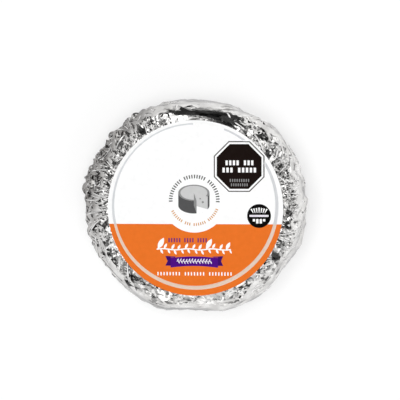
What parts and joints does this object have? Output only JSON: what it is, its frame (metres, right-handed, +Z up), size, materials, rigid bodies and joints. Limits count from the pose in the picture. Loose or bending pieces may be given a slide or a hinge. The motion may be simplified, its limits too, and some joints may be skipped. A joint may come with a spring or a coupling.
{
  "type": "foil-wrapped camembert",
  "caption": "Whole soft cheese wheel in crumpled aluminium foil, with a round white and orange paper label and an octagonal sticker on top.",
  "frame": {"origin": "middle of the flat base, on the wheel's axis", "axes": "+Z up along the wheel's axis, out of the labelled face; +Y towards the top of the label's print; +X to its right"},
  "size_m": [0.1109, 0.1053, 0.0316],
  "materials": {
    "foil": "crumpled household foil, semi-bright",
    "label_paper": "coated paper printed white, orange, purple and black",
    "sticker_paper": "coated paper printed black with a white border"
  },
  "bodies": {
    "root": {"foil_wrap": "foil", "label": "label_paper", "octagon_sticker": "sticker_paper"}
  },
  "joints": []
}
